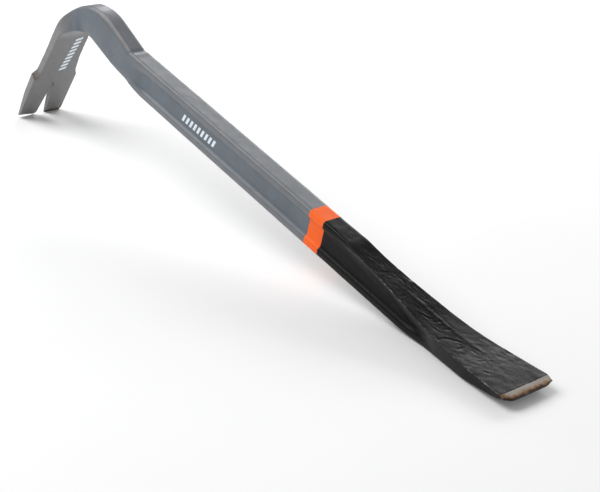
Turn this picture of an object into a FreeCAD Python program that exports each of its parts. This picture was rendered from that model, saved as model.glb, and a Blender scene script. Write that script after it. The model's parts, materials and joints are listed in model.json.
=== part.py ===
"""Gooseneck pry bar: one steel forging under three bands of enamel, with two printed marks.

Modelling frame, in millimetres: X runs along the shank from the claw to the blade, Z is across
the shank in the plane of the bend, Y is across the bar.  Z = 0 is the middle of the shank.
The finished pieces are turned into the standing pose, claw tips and blade heel on Z = 0.
"""
import FreeCAD, Part
import Sketcher
import math
import os

SIZES = {
    # shank
    "overall_length": 600.0,
    "shank_depth": 30.0,
    "shank_width": 17.0,
    "flange_round": 5.0,
    "flange_land": 6.0,
    "flange_height": 7.8,
    "recess_depth": 2.3,
    "recess_round": 1.2,
    # gooseneck
    "neck_top_start": 146.5,
    "neck_top_blend": 25.0,
    "neck_under_start": 163.0,
    "neck_under_blend": 60.0,
    "crest_corner_x": 62.5,
    "crest_rise": 24.5,
    "crest_radius": 58.0,
    "leg_root_run": 9.4,
    "throat_rise": 18.2,
    "throat_radius": 38.0,
    "neck_start": 45.0,
    "neck_chamfer": 2.6,
    "crease_x": 146.0,
    "recess_run": 24.0,
    # leg and claw
    "leg_drop": 124.9,
    "outer_lean": 23.0,
    "inner_lean": 24.0,
    "tip_thickness": 3.0,
    "tip_cut_angle": 12.0,
    "tip_taper_length": 32.0,
    "claw_bevel": 3.0,
    "leg_width": 33.5,
    "leg_top_width": 33.0,
    "leg_straight_end": 124.0,
    "leg_flare_end": 154.0,
    "claw_width": 43.0,
    "claw_length": 55.5,
    "shoulder_length": 5.5,
    "notch_width": 10.0,
    "notch_length": 47.0,
    "notch_root": 1.6,
    # blade, all measured back from its tip
    "flat_length": 170.0,
    "valley_from_tip": 53.0,
    "valley_drop": 10.5,
    "valley_radius": 350.0,
    "heel_from_tip": 94.0,
    "heel_radius": 120.0,
    "tip_rise": 12.0,
    "blade_tip_thickness": 3.0,
    "blade_tip_width": 46.4,
    "blade_mid_width": 36.4,
    "blade_root_width": 26.1,
    "blade_mid_from_tip": 50.0,
    "blade_root_from_tip": 100.0,
    "blade_side_slant": 25.0,
    "bevel_length": 6.5,
    "edge_thickness": 1.0,
    # finish
    "coat": 0.3,
    "band_from_tip": 214.0,
    "band_width": 15.7,
    "ink": 0.12,
    "mark_length": 46.0,
    "mark_height": 6.4,
    "stripe_lean": 2.6,
    "shank_mark_start": 222.5,
    "leg_mark_offset": 5.5,
}
STRIPES = 9            # stripes in each printed mark
STRIPE_FILL = 0.55     # share of the stripes' pitch that is ink
BEYOND = 80.0          # how far a bounding or cutting shape reaches past the bar
MARGIN = 1.0           # how far a shape passes a face that it must cover
END_STOCK = 8.0        # length that grinding takes off the blade
CLAW_STOCK = 2.5       # length that grinding takes off the claw tips

doc = FreeCAD.newDocument("pry_bar")
sheet = doc.addObject("Spreadsheet::Sheet", "Sizes")
for row, (size_name, size) in enumerate(SIZES.items(), start=1):
    sheet.set("A%d" % row, size_name)
    sheet.set("B%d" % row, str(size))
    sheet.setAlias("B%d" % row, size_name)
doc.recompute()


def bound(text):
    """An expression over the sheet's cells: each size written as <name> becomes its cell."""
    return text.replace("<", "Sizes.").replace(">", "")


def value(text):
    """The number that an expression gives now."""
    return float(sheet.evalExpression(bound(text)))


def plane(origin, across, up):
    """A placement whose local X is `across` and whose local Y is `up`."""
    return FreeCAD.Placement(origin, FreeCAD.Rotation(across, up, across.cross(up), "ZXY"))


X_AXIS = FreeCAD.Vector(1, 0, 0)
Y_AXIS = FreeCAD.Vector(0, 1, 0)
Z_AXIS = FreeCAD.Vector(0, 0, 1)
SIDE = plane(FreeCAD.Vector(0, 0, 0), X_AXIS, Z_AXIS)
PLAN = plane(FreeCAD.Vector(0, 0, 0), X_AXIS, Y_AXIS)
FRONT = plane(FreeCAD.Vector(0, 0, 0), Y_AXIS, Z_AXIS)


def draw_loop(sketch, corners):
    """Add a closed outline of straight sides, each corner an expression pair and a radius.

    A corner with a radius becomes an arc tangent to both sides, and its sharp point stays as
    construction, where its two sizes are bound.
    """
    count = len(corners)
    sharp = [FreeCAD.Vector(value(c[0]), value(c[1]), 0) for c in corners]
    starts, ends, arcs = [], [], {}
    for i in range(count):
        here, before, after = sharp[i], sharp[i - 1], sharp[(i + 1) % count]
        if len(corners[i]) < 3:
            starts.append(here)
            ends.append(here)
            continue
        back = (before - here).normalize()
        ahead = (after - here).normalize()
        half = back.getAngle(ahead) / 2
        radius = value(corners[i][2])
        centre = here + (back + ahead).normalize() * (radius / math.sin(half))
        ends.append(here + back * (radius / math.tan(half)))
        starts.append(here + ahead * (radius / math.tan(half)))
        left_turn = ahead.cross(back).z > 0
        first, last = (ends[i], starts[i]) if left_turn else (starts[i], ends[i])
        angles = [math.atan2(p.y - centre.y, p.x - centre.x) for p in (first, last)]
        circle = Part.Circle(centre, Z_AXIS, radius)
        arcs[i] = (Part.ArcOfCircle(circle, angles[0], angles[1]), 1 if left_turn else 2)
    lines = []
    for i in range(count):
        side = Part.LineSegment(starts[i], ends[(i + 1) % count])
        lines.append(sketch.addGeometry(side, False))
    for i, corner in enumerate(corners):
        line_in, line_out = lines[i - 1], lines[i]
        if i in arcs:
            shape, meets_in = arcs[i]
            arc = sketch.addGeometry(shape, False)
            point = sketch.addGeometry(Part.Point(sharp[i]), True)
            sketch.addConstraint(Sketcher.Constraint("Tangent", line_in, 2, arc, meets_in))
            sketch.addConstraint(Sketcher.Constraint("Tangent", arc, 3 - meets_in, line_out, 1))
            sketch.addConstraint(Sketcher.Constraint("PointOnObject", point, 1, line_in))
            sketch.addConstraint(Sketcher.Constraint("PointOnObject", point, 1, line_out))
            bind(sketch, Sketcher.Constraint("Radius", arc, value(corner[2])), corner[2])
            place_on = (point, 1)
        else:
            sketch.addConstraint(Sketcher.Constraint("Coincident", line_in, 2, line_out, 1))
            place_on = (line_out, 1)
        for kind, text in (("DistanceX", corner[0]), ("DistanceY", corner[1])):
            rule = Sketcher.Constraint(kind, -1, 1, place_on[0], place_on[1], value(text))
            bind(sketch, rule, text)


def bind(sketch, rule, text):
    """Add a dimension to a sketch and tie it to the sheet."""
    index = sketch.addConstraint(rule)
    sketch.setExpression("Constraints[%d]" % index, bound(text))


def outline(name, corners, placement):
    """A sketch of one closed outline."""
    sketch = doc.addObject("Sketcher::SketchObject", name)
    sketch.Placement = placement
    draw_loop(sketch, corners)
    return sketch


def mirrored(corners):
    """Half an outline, given on the +local-X side from bottom to top, closed by its mirror."""
    other = [("-(" + c[0] + ")",) + tuple(c[1:]) for c in reversed(corners)]
    return corners + other


def inset(source, depth="<coat>"):
    """The same outline moved inwards, by the enamel's thickness unless told otherwise."""
    smaller = doc.addObject("Part::Offset2D", source.Name + "_inset")
    smaller.Source = source
    smaller.setExpression("Value", bound("-(" + depth + ")"))
    smaller.Join = "Arc"
    return smaller


def prism(name, source, direction, forward, backward):
    """A solid made by pushing an outline along a direction, both ways."""
    solid = doc.addObject("Part::Extrusion", name)
    solid.Base = source
    solid.DirMode = "Custom"
    solid.Dir = direction
    solid.Solid = True
    solid.setExpression("LengthFwd", bound(forward))
    solid.setExpression("LengthRev", bound(backward))
    return solid


def combine(kind, name, *shapes):
    """A Part boolean of the given kind: Cut, Common or MultiFuse."""
    result = doc.addObject("Part::" + kind, name)
    if kind == "MultiFuse":
        result.Shapes = list(shapes)
    else:
        result.Base, result.Tool = shapes
    return result


# Side view of the bar, from the blade's tip round by the top, the claw and the underside.
TOP = "<shank_depth> / 2"
UNDER = "-<shank_depth> / 2"
VALLEY_X = "(<overall_length> - <valley_from_tip>)"
VALLEY_Z = "(<shank_depth> / 2 - <valley_drop>)"
HEEL_X = "(<overall_length> - <heel_from_tip>)"
CREST_Z = "(<shank_depth> / 2 + <crest_rise>)"
THROAT_Z = "(<throat_rise> - <shank_depth> / 2)"
THROAT_X = ("(<crest_corner_x> - (" + CREST_Z + " - " + THROAT_Z + ") * tan(<outer_lean>)"
            " + <leg_root_run>)")
TIP_TOP = "(<tip_rise> + <blade_tip_thickness>)"
TOP_SLOPE = "((" + TIP_TOP + " - " + VALLEY_Z + ") / <valley_from_tip>)"
UNDER_SLOPE = "((<tip_rise> + <shank_depth> / 2) / <heel_from_tip>)"
# The claw's tip is cut flat: its inner corner lies on the leg's inner face.
TIP_IN_X = "(" + THROAT_X + " - (" + THROAT_Z + " + <leg_drop>) * tan(<inner_lean>))"
TIP_IN_Z = "(-<leg_drop>)"
TIP_OUT_X = "(" + TIP_IN_X + " - <tip_thickness> * cos(<tip_cut_angle>))"
TIP_OUT_Z = "(" + TIP_IN_Z + " - <tip_thickness> * sin(<tip_cut_angle>))"
TAPER_Z = "(" + TIP_OUT_Z + " + <tip_taper_length> * cos(<outer_lean>))"
TAPER_X = "(<crest_corner_x> - (" + CREST_Z + " - " + TAPER_Z + ") * tan(<outer_lean>))"
TAPER_RUN = "((" + TAPER_X + " - " + TIP_OUT_X + ") / (" + TAPER_Z + " - " + TIP_OUT_Z + "))"
LONG_X = "<overall_length> + %g" % END_STOCK
side_view = outline("side_view", [
    (LONG_X, TIP_TOP + " + %g * " % END_STOCK + TOP_SLOPE),
    (VALLEY_X, VALLEY_Z, "<valley_radius>"),
    ("<overall_length> - <flat_length>", TOP),
    ("<neck_top_start>", TOP, "<neck_top_blend>"),
    ("<crest_corner_x>", CREST_Z, "<crest_radius>"),
    (TAPER_X, TAPER_Z),
    (TIP_OUT_X + " - %g * " % CLAW_STOCK + TAPER_RUN, TIP_OUT_Z + " - %g" % CLAW_STOCK),
    (TIP_IN_X + " - %g * tan(<inner_lean>)" % CLAW_STOCK, TIP_IN_Z + " - %g" % CLAW_STOCK),
    (THROAT_X, THROAT_Z, "<throat_radius>"),
    ("<neck_under_start>", UNDER, "<neck_under_blend>"),
    (HEEL_X, UNDER, "<heel_radius>"),
    (LONG_X, "<tip_rise> + %g * " % END_STOCK + UNDER_SLOPE),
], SIDE)

# Cross-section of the shank: a web between two flanges with rounded crowns.
FLANGE_Y = "<shank_width> / 2"
WEB_Y = "(<shank_width> / 2 - <recess_depth>)"
LAND_Z = "(<shank_depth> / 2 - <flange_land>)"
WEB_Z = "(<shank_depth> / 2 - <flange_height>)"
shank_section = outline("shank_section", mirrored([
    (FLANGE_Y, "-" + TOP, "<flange_round>"),
    (FLANGE_Y, "-" + LAND_Z, "<recess_round>"),
    (WEB_Y, "-" + WEB_Z, "<recess_round>"),
    (WEB_Y, WEB_Z, "<recess_round>"),
    (FLANGE_Y, LAND_Z, "<recess_round>"),
    (FLANGE_Y, TOP, "<flange_round>"),
]), FRONT)

# Side view of the gooseneck alone, drawn where its chamfers begin and again where they end.
LEG_CUT_Z = "(-<leg_drop> / 2)"
NECK_END_X = "(<neck_under_start> + <neck_under_blend>)"
neck_corners = [
    (NECK_END_X, TOP),
    ("<neck_top_start>", TOP, "<neck_top_blend>"),
    ("<crest_corner_x>", CREST_Z, "<crest_radius>"),
    ("<crest_corner_x> - (" + CREST_Z + " - " + LEG_CUT_Z + ") * tan(<outer_lean>)", LEG_CUT_Z),
    (THROAT_X + " - (" + THROAT_Z + " - " + LEG_CUT_Z + ") * tan(<inner_lean>)", LEG_CUT_Z),
    (THROAT_X, THROAT_Z, "<throat_radius>"),
    ("<neck_under_start>", UNDER, "<neck_under_blend>"),
    (NECK_END_X, UNDER),
]
neck_views = {}
for name, side in (("neck_flat", "<shank_width> / 2 - <neck_chamfer>"), ("neck_side", FLANGE_Y)):
    neck_views[name] = outline(name, neck_corners, SIDE)
    neck_views[name].setExpression("Placement.Base.y", bound("-(" + side + ")"))

# Plan of the gooseneck, which has flat sides, and of the ramps where the recesses begin.
neck_plan = outline("neck_plan", [
    ("<neck_start>", "-" + FLANGE_Y),
    ("<crease_x>", "-" + FLANGE_Y),
    ("<crease_x>", FLANGE_Y),
    ("<neck_start>", FLANGE_Y),
], PLAN)
ramp_plan = outline("ramp_plan", [
    ("<crease_x> - %g" % MARGIN, "-" + FLANGE_Y),
    ("<crease_x>", "-" + FLANGE_Y),
    ("<crease_x> + <recess_run>", "-" + WEB_Y),
    ("<crease_x> + <recess_run>", WEB_Y),
    ("<crease_x>", FLANGE_Y),
    ("<crease_x> - %g" % MARGIN, FLANGE_Y),
], PLAN)

# Face view of the leg and claw, drawn on the leg's plane with its origin at the claw's tip.
lean = math.radians(value("(<outer_lean> + <inner_lean>) / 2"))
up_leg = FreeCAD.Vector(math.sin(lean), 0, math.cos(lean))
LEG = plane(FreeCAD.Vector(value(TIP_IN_X), 0, value(TIP_IN_Z)), Y_AXIS, up_leg)
leg_normal = Y_AXIS.cross(up_leg)
NOTCH_SLOPE = "((<notch_width> - <notch_root>) / 2 / <notch_length>)"
claw_face = outline("claw_face", mirrored([
    ("<notch_root> / 2", "<notch_length>"),
    ("<notch_width> / 2 + %g * " % END_STOCK + NOTCH_SLOPE, "-%g" % END_STOCK),
    ("<claw_width> / 2", "-%g" % END_STOCK),
    ("<claw_width> / 2", "<claw_length>"),
    ("<leg_width> / 2", "<claw_length> + <shoulder_length>"),
    ("<leg_top_width> / 2", "<leg_straight_end>"),
    (FLANGE_Y + " - <neck_chamfer>", "<leg_flare_end>"),
]), LEG)

# Cross-sections of the blade: how far back, edge to edge, the edge's height, the sides' slant.
FLAT_SLOPE = "(<valley_drop> / (<flat_length> - <valley_from_tip>))"
VALLEY_TURN = "(atan(" + FLAT_SLOPE + ") + atan(" + TOP_SLOPE + "))"
VALLEY_SAG = "<valley_radius> * (1 / cos(" + VALLEY_TURN + " / 2) - 1)"
BLADE_FLARE = "((<blade_tip_width> - <blade_mid_width>) / <blade_mid_from_tip>)"
low = "(<shank_depth> / 2 + %g)" % MARGIN
blade_sections = []
for number, (from_tip, width, height, slant) in enumerate([
        ("<flat_length> - %g" % MARGIN, "2 * " + WEB_Y + " - %g" % MARGIN, TOP, "0"),
        ("<blade_root_from_tip>", "<blade_root_width>",
         VALLEY_Z + " + " + FLAT_SLOPE + " * (<blade_root_from_tip> - <valley_from_tip>)",
         "<blade_side_slant>"),
        ("<blade_mid_from_tip>", "<blade_mid_width>", VALLEY_Z + " + " + VALLEY_SAG,
         "<blade_side_slant>"),
        ("-%g" % END_STOCK, "<blade_tip_width> + %g * " % END_STOCK + BLADE_FLARE,
         TIP_TOP + " + %g * " % END_STOCK + TOP_SLOPE, "<blade_side_slant>"),
]):
    section = outline("blade_section_%d" % (number + 1), mirrored([
        ("(%s) / 2 - ((%s) + %s) * tan(%s)" % (width, height, low, slant), "-" + low),
        ("(%s) / 2 + (2 * %s - (%s)) * tan(%s)" % (width, low, height, slant), "2 * " + low),
    ]), FRONT)
    section.setExpression("Placement.Base.x", bound("<overall_length> - (" + from_tip + ")"))
    blade_sections.append(section)


def chamfered_neck(tag, outline_of, skin):
    """The gooseneck: a straight-sided middle and a chamfer on each side, cut off at its ends."""
    flat = outline_of(neck_views["neck_flat"])
    middle = prism(tag + "_middle", flat, Y_AXIS, "<shank_width> - 2 * <neck_chamfer>", "0")
    near = doc.addObject("Part::Loft", tag + "_near_chamfer")
    near.Sections = [flat, inset(neck_views["neck_side"], "<neck_chamfer> + " + skin)]
    near.Solid = True
    near.Ruled = True
    far = doc.addObject("Part::Mirroring", tag + "_far_chamfer")
    far.Source = near
    far.Normal = Y_AXIS
    whole = combine("MultiFuse", tag + "_whole_neck", middle, near, far)
    between = prism(tag + "_neck_sides", outline_of(neck_plan), Z_AXIS, "%g" % BEYOND, "%g" % BEYOND)
    return combine("Common", tag + "_neck", whole, between)


def bar_form(tag, outline_of, skin):
    """The bar before grinding: its side view, kept where the width solids are."""
    far = "%g" % BEYOND
    body = prism(tag + "_silhouette", outline_of(side_view), Y_AXIS, far, far)
    shank = prism(tag + "_shank", outline_of(shank_section), X_AXIS,
                  "<overall_length> + %g" % (2 * END_STOCK), "-(<crease_x> - %g)" % MARGIN)
    neck = chamfered_neck(tag, outline_of, skin)
    land = LAND_Z + " - " + skin
    ramps = prism(tag + "_ramps", outline_of(ramp_plan), Z_AXIS, land, land)
    claw = prism(tag + "_claw", outline_of(claw_face), leg_normal, far, far)
    blade = doc.addObject("Part::Loft", tag + "_blade")
    blade.Sections = [outline_of(section) for section in blade_sections]
    blade.Solid = True
    blade.Ruled = True
    widths = combine("MultiFuse", tag + "_widths", shank, neck, ramps, claw, blade)
    return combine("Common", tag + "_form", body, widths)


painted_form = bar_form("painted", lambda source: source, "0")
steel_form = bar_form("steel", inset, "<coat>")

# Grinding: the blade's bevel and blunt edge, the claw's flat tips and their inner bevel.
BEVEL_Z = "(" + TIP_TOP + " - <bevel_length> * " + TOP_SLOPE + ")"
EDGE_Z = "(<tip_rise> + <edge_thickness>)"
blade_ground = outline("blade_ground", [
    ("<overall_length> - 3 * <bevel_length>", BEVEL_Z + " + 2 * (" + BEVEL_Z + " - " + EDGE_Z + ")"),
    ("<overall_length>", EDGE_Z),
    ("<overall_length>", "-%g" % BEYOND),
    ("<overall_length> + %g" % BEYOND, "-%g" % BEYOND),
    ("<overall_length> + %g" % BEYOND, "%g" % BEYOND),
    ("<overall_length> - 3 * <bevel_length>", "%g" % BEYOND),
], SIDE)
blade_grinder = prism("blade_grinder", blade_ground, Y_AXIS, "%g" % BEYOND, "%g" % BEYOND)
flat_cut = "%g" % (3 * CLAW_STOCK)
HALF_TIP = "<tip_thickness> / 2"
claw_ground = outline("claw_ground", [
    (TIP_OUT_X + " - " + flat_cut + " * cos(<tip_cut_angle>)",
     TIP_OUT_Z + " - " + flat_cut + " * sin(<tip_cut_angle>)"),
    (TIP_IN_X + " - " + HALF_TIP + " * cos(<tip_cut_angle>)",
     TIP_IN_Z + " - " + HALF_TIP + " * sin(<tip_cut_angle>)"),
    (TIP_IN_X + " + <claw_bevel> * sin(<inner_lean>)", TIP_IN_Z + " + <claw_bevel> * cos(<inner_lean>)"),
    (TIP_IN_X + " + 4 * <claw_bevel>", TIP_IN_Z + " + <claw_bevel> * cos(<inner_lean>)"),
    (TIP_IN_X + " + 4 * <claw_bevel>", TIP_IN_Z + " - 4 * <claw_bevel>"),
    (TIP_OUT_X + " - " + flat_cut, TIP_IN_Z + " - 4 * <claw_bevel>"),
], SIDE)
claw_grinder = prism("claw_grinder", claw_ground, Y_AXIS, "%g" % BEYOND, "%g" % BEYOND)
grinder = combine("MultiFuse", "grinder", blade_grinder, claw_grinder)

# The enamel: what is left of the painted form round the steel, in three lengths.
painted_ground = combine("Cut", "painted_ground", painted_form, grinder)
enamel = combine("Cut", "enamel", painted_ground, steel_form)


def zone(name, start, length):
    """A block over a length of the bar, wider and deeper than the bar."""
    block = doc.addObject("Part::Box", name)
    block.Placement = FreeCAD.Placement(FreeCAD.Vector(0, -BEYOND, -2 * BEYOND), FreeCAD.Rotation())
    block.setExpression("Placement.Base.x", bound(start))
    block.setExpression("Length", bound(length))
    block.Width = 2 * BEYOND
    block.Height = 4 * BEYOND
    return block


BAND_X = "(<overall_length> - <band_from_tip>)"
grey_zone = zone("grey_zone", "-%g" % BEYOND, BAND_X + " + %g" % BEYOND)
orange_zone = zone("orange_zone", BAND_X, "<band_width>")
black_zone = zone("black_zone", BAND_X + " + <band_width>", "<band_from_tip>")


def stripes(name, placement, start_x, start_y):
    """A row of slanted stripes: a plain printed mark with no letters."""
    sketch = doc.addObject("Sketcher::SketchObject", name)
    sketch.Placement = placement
    for number in range(STRIPES):
        left = "%s + %d * <mark_length> / %d" % (start_x, number, STRIPES)
        right = left + " + %g * <mark_length> / %d" % (STRIPE_FILL, STRIPES)
        draw_loop(sketch, [
            (left, start_y + " - <mark_height> / 2"),
            (right, start_y + " - <mark_height> / 2"),
            (right + " + <stripe_lean>", start_y + " + <mark_height> / 2"),
            (left + " + <stripe_lean>", start_y + " + <mark_height> / 2"),
        ])
    return sketch


web_face = plane(FreeCAD.Vector(0, -value(WEB_Y), 0), X_AXIS, Z_AXIS)
shank_stripes = stripes("shank_stripes", web_face, "<shank_mark_start>", "0")
inner = math.radians(value("<inner_lean>"))
up_inner = FreeCAD.Vector(math.sin(inner), 0, math.cos(inner))
inner_face = plane(FreeCAD.Vector(value(TIP_IN_X), 0, value(TIP_IN_Z)), up_inner, Y_AXIS)
NECK_FALL = "atan(<throat_rise> / (<neck_under_start> - " + THROAT_X + "))"
THROAT_TURN = "(90 deg - <inner_lean> * 1 deg + " + NECK_FALL + ")"
LEG_FLAT_END = ("((" + THROAT_Z + " + <leg_drop>) / cos(<inner_lean>)"
                " - <throat_radius> * tan(" + THROAT_TURN + " / 2))")
leg_stripes = stripes("leg_stripes", inner_face,
                      LEG_FLAT_END + " - <mark_length> - <stripe_lean>", "<leg_mark_offset>")

# The ink fills shallow pockets in the enamel, so that the printed faces stay flat.
into_leg = Y_AXIS.cross(up_inner)
print_pockets = combine("MultiFuse", "print_pockets",
                        prism("shank_pockets", shank_stripes, Y_AXIS, "<ink>", "0"),
                        prism("leg_pockets", leg_stripes, into_leg, "<ink>", "0"))
grey_length = combine("Common", "grey_length", enamel, grey_zone)

nodes = {
    "forged_bar": combine("Cut", "forged_bar", steel_form, grinder),
    "grey_coat": combine("Cut", "grey_coat", grey_length, print_pockets),
    "orange_band": combine("Common", "orange_band", enamel, orange_zone),
    "black_coat": combine("Common", "black_coat", enamel, black_zone),
    "shank_mark": prism("shank_mark", shank_stripes, Y_AXIS, "<ink>", "0"),
    "leg_mark": prism("leg_mark", leg_stripes, into_leg, "<ink>", "0"),
}
doc.recompute()

# Standing pose: the floor touches the claw's tip and is tangent to the heel's arc.
half_turn = math.atan(value(UNDER_SLOPE)) / 2
heel_start = value(HEEL_X) - value("<heel_radius>") * math.tan(half_turn)
to_heel_x = heel_start - value(TIP_OUT_X)
to_heel_z = value(UNDER) + value("<heel_radius>") - value(TIP_OUT_Z)
span = math.hypot(to_heel_x, to_heel_z)
stance = math.atan2(to_heel_z, to_heel_x) - math.asin(value("<heel_radius>") / span)
turn = FreeCAD.Placement(FreeCAD.Vector(), FreeCAD.Rotation(Y_AXIS, math.degrees(stance)))
standing = painted_ground.Shape.copy()
standing.Placement = turn
box = standing.optimalBoundingBox(False)
rest = FreeCAD.Vector(-(box.XMin + box.XMax) / 2, -(box.YMin + box.YMax) / 2, -box.ZMin)
pose = FreeCAD.Placement(rest, FreeCAD.Rotation()).multiply(turn)
for node_name, node in nodes.items():
    node.Label = node_name
    node.Placement = pose.multiply(node.Placement)
doc.recompute()

for item in doc.Objects:
    if "Invalid" in item.State or "Error" in item.State:
        raise RuntimeError("%s failed: %s" % (item.Name, item.State))
os.makedirs("parts", exist_ok=True)
for node_name, node in nodes.items():
    shape = node.Shape
    if shape.isNull() or not shape.isValid():
        raise RuntimeError(node_name + " has no valid shape")
    shape.exportStep(os.path.join("parts", node_name + ".step"))
    print("%-12s solids %2d  volume %10.1f" % (node_name, len(shape.Solids), shape.Volume))
print("stance %.2f degrees" % math.degrees(stance))
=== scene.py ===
"""Gooseneck pry bar: a forged steel bar under grey, orange and black enamel, with printed stripes.

Shapes are worked out in millimetres in the bar's own frame: X along the shank from the claw to
the blade, Y across the bar, Z across the shank in the plane of the bend, Z = 0 at mid shank.
`stand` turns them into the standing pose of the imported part, in metres.
"""

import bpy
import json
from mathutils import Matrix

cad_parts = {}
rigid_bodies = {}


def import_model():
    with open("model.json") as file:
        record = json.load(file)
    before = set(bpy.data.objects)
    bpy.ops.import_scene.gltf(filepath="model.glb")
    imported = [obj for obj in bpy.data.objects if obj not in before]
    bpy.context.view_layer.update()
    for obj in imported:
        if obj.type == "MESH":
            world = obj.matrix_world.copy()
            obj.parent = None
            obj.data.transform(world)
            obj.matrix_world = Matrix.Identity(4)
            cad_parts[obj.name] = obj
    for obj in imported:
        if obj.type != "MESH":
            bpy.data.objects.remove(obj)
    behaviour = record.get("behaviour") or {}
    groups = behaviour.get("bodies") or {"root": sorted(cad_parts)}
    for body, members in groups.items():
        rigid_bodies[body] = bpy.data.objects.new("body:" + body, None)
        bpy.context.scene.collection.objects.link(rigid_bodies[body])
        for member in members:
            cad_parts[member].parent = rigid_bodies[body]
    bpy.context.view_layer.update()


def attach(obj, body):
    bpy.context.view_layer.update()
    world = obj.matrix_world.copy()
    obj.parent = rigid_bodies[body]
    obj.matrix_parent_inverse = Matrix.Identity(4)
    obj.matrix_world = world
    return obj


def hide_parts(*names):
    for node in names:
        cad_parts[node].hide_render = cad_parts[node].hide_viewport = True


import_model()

import itertools
import json
import math

import bpy
import numpy as np
from bpy.props import FloatProperty, FloatVectorProperty, PointerProperty
from mathutils import Euler, Vector

bl_info = {
    "name": "Gooseneck pry bar",
    "version": (1, 0, 0),
    "blender": (4, 5, 0),
    "location": "View3D > Sidebar > Pry bar",
    "description": "Builds the surfaces of a gooseneck pry bar round its packed CAD part",
    "category": "Object",
}

MM = 0.001
STANCE = math.radians(12.332061)          # how far the shank leans when the bar stands
STAND_SHIFT = (-279.3634, 121.8936)       # where the bar frame's origin stands, along X and Z

# Corners of the side view, from the blade's tip to the claw's: X, Z and the corner's radius.
TOP_SIDE = [
    (600.0, 13.0, 0), (593.5, 14.2, 0), (535.0, 7.0, 250), (455.0, 11.4, 300), (431.0, 15.0, 45),
    (146.5, 15.0, 25), (62.5, 39.5, 58), (4.95, -96.1, 60), (-3.45, -125.5, 0),
]
UNDER_SIDE = [
    (600.0, 12.0, 0), (560.0, -1.36, 150), (503.3, -15.0, 120), (160.0, -15.0, 100),
    (118.0, -9.3, 90), (56.5, 3.2, 38),
    (0.7, -122.1, 0), (-2.0, -125.2, 0),
]
TIP_X = 600.0
CREASE_X = 146.0
BAND_X = (386.0, 401.7)
NECK_START_X = 91.5
LEG_TOP_X = 42.2
TINE_BEND_X = 4.95                        # where the claw starts to taper to its tips
CLAW_TIP_X = -3.45
BEVEL_X = 593.5                           # where the blade's ground bevel starts
NEAR_TINE_SHIFT = np.array([1.2, -0.6, 2.7])   # the near tine is forged shorter than the other
LEG_TIP = (-0.53, -124.9)                 # X and Z of the leg's inner face at the tips
LEG_UP = (0.399, 0.917)                   # X and Z of the direction from there up the leg
BLADE_TOP_HALF = (                        # half the blade's width at its top, by X
    (440, 8.7), (460, 9.85), (480, 11.1), (500, 13.05), (520, 15.3), (540, 17.2), (560, 19.2),
    (580, 20.9), (590, 21.9), (600, 22.1),
)
FLANGE = 6.0                              # height of the lower flange's outer face
SLOPE_END = 8.3                           # height at which the lower flange's slope meets the web
COAT_SHARE = 0.95                         # part of the gap over the steel that a coat fills
SUNK = 0.15                               # how far a coat dips under the steel where it is bare
STRIPES = 9
STRIPE_ROW_LENGTH = 46.0
STRIPE_FILL = 0.55                        # a stripe's width over the stripes' pitch
STRIPE_SLANT = 2.6

# name, place, aim, size and watts
LAMPS = (
    ("key_box", (-0.99, -0.63, 1.37), (0.0, 0.0, 0.0), (1.35, 1.35), 26.0),
    ("back_box", (-0.92, 1.46, 0.88), (0.1, 0.0, 0.05), (2.0, 0.7), 20.0),
    ("front_box", (1.8, -1.1, 0.8), (0.0, 0.0, 0.05), (1.4, 1.0), 11.0),
)
FLOOR_REACH = 5.0
FLOOR_LINES = 11
WORLD_STRENGTH = 0.32
CAMERA_LENS = 79.769
CAMERA_PLACE = (0.754741, -0.566527, 0.429804)
CAMERA_TURN = (1.13066847, -0.04572524, 0.89248695)


# ---- shape helpers -------------------------------------------------------------------------

def rounded_path(corners):
    """Straight runs joined by arcs.  An arc of radius r leaves the corner's sides at
    r / tan(half the corner's angle) and its points are the start and end spokes blended by
    sines of the remaining and the passed turn."""
    corners = np.array(corners, float)
    points = [corners[:1, :2]]
    for before, here, after in zip(corners, corners[1:], corners[2:]):
        corner, radius = here[:2], here[2]
        back = (before[:2] - corner) / np.linalg.norm(before[:2] - corner)
        ahead = (after[:2] - corner) / np.linalg.norm(after[:2] - corner)
        if radius == 0:
            points.append(corner[None])
            continue
        half = math.acos(np.clip(back @ ahead, -1, 1)) / 2
        middle = (back + ahead) / np.linalg.norm(back + ahead)
        centre = corner + middle * radius / math.sin(half)
        first = corner + back * radius / math.tan(half) - centre
        last = corner + ahead * radius / math.tan(half) - centre
        turn = math.pi - 2 * half
        share = np.linspace(0, 1, 61)[:, None]
        spokes = np.sin((1 - share) * turn) * first + np.sin(share * turn) * last
        points.append(centre + spokes / math.sin(turn))
    points.append(corners[-1:, :2])
    return np.vstack(points)


def at_x(path, x):
    """The point of a path at each X; X falls all along the path."""
    return np.stack([x, np.interp(-x, -path[:, 0], path[:, 1])], -1)


def table(x, *pairs):
    """Straight-line reading of a table whose X values rise."""
    keys, values = zip(*pairs)
    return np.interp(x, keys, values)


def eased_table(x, ease, *pairs):
    """A table's reading averaged over seven places within `ease` either way."""
    return np.mean([table(x + ease * step, *pairs) for step in np.linspace(-1, 1, 7)], axis=0)


def smooth_step(low, high, x):
    """0 below low, 1 above high, and 3t^2 - 2t^3 between."""
    t = np.clip((x - low) / (high - low), 0, 1)
    return t * t * (3 - 2 * t)


def grain(points, size, seed):
    """Smooth random heights from -1 to 1: hashed values on a cubic lattice of the given size,
    blended in each cell by the weights 3t^2 - 2t^3."""
    scaled = points / size
    cell = np.floor(scaled)
    t = scaled - cell
    near = t * t * (3 - 2 * t)
    total = np.zeros(points.shape[:-1])
    for corner in itertools.product((0, 1), repeat=3):
        wave = np.sin((cell + corner) @ np.array([127.1, 311.7, 74.7]) + seed * 43.7) * 43758.5453
        weight = np.where(np.array(corner) == 1, near, 1 - near).prod(axis=-1)
        total += weight * (wave - np.floor(wave))
    return 2 * total - 1


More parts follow.
